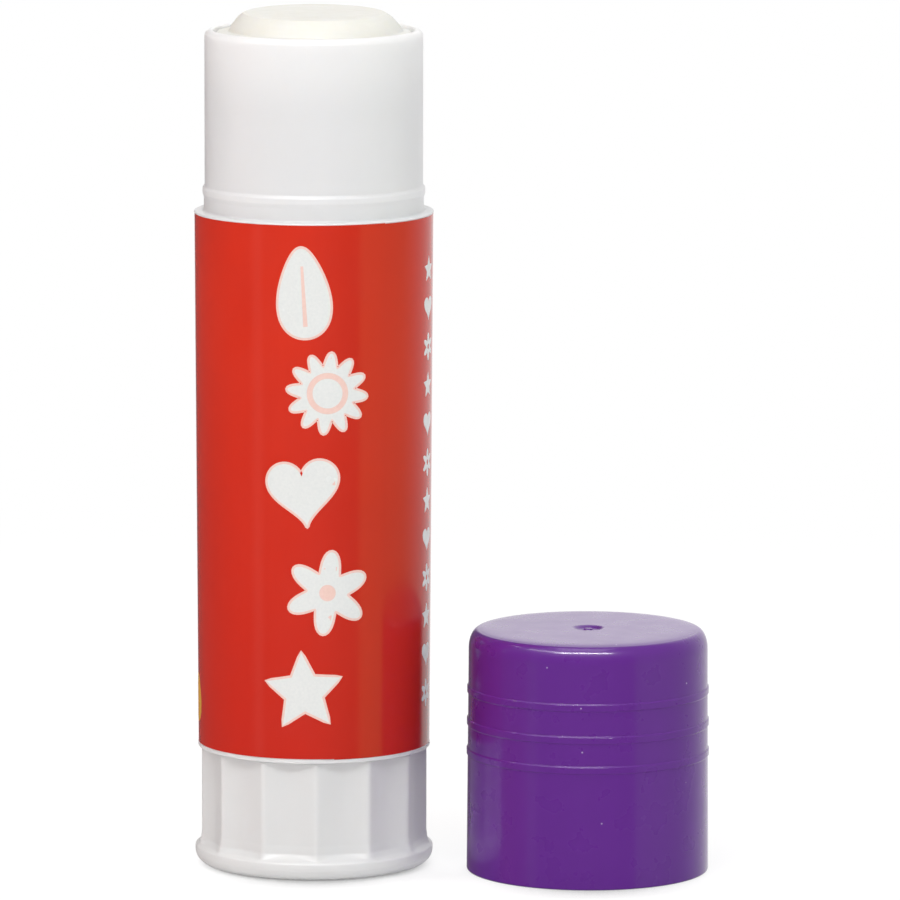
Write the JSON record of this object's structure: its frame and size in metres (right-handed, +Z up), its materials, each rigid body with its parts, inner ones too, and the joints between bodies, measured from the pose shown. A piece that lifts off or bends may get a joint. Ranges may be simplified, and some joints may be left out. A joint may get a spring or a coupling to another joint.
{
  "type": "glue stick",
  "caption": "Twist-up glue stick: a white tube with a red label and a fluted turning base, a screw that lifts the glue, and a banded purple cap standing beside it.",
  "frame": {"origin": "on the tube's axis, on the flat pad in the middle of the base that the tube stands on", "axes": "+Z up along the tube, from the turning base to the glue; -Y towards the side that the picture shows; +X towards the cap"},
  "size_m": [0.0649, 0.0361, 0.1085],
  "materials": {
    "tube_plastic": "smooth white polypropylene, satin",
    "knob_plastic": "smooth white polypropylene, satin",
    "inner_plastic": "unpolished white polypropylene",
    "label_film": "glossy printed plastic film",
    "glue": "smooth off-white glue, slightly waxy",
    "cap_plastic": "glossy purple polypropylene"
  },
  "bodies": {
    "barrel": {"barrel": "tube_plastic", "label": "label_film"},
    "knob": {"knob": "knob_plastic", "spindle": "inner_plastic"},
    "carrier": {"carrier": "inner_plastic", "glue_stick": "glue"},
    "cap": {"cap": "cap_plastic"}
  },
  "joints": [
    {"name": "knob_turn", "type": "hinge", "parent": "barrel", "child": "knob", "pos_m": [0, 0, 0], "axis": [0, 0, 1], "range_deg": [-180, 4260]},
    {"name": "carrier_lift", "type": "slide", "parent": "barrel", "child": "carrier", "axis": [0, 0, 1], "range_m": [-0.003, 0.071]},
    {"name": "cap_lift", "type": "slide", "parent": "barrel", "child": "cap", "axis": [0, 0, 1], "range_m": [0, 0.112]}
  ],
  "couplings": [
    {"joint": "knob_turn", "follows": "carrier_lift", "rad_per_m": 1047.2}
  ]
}
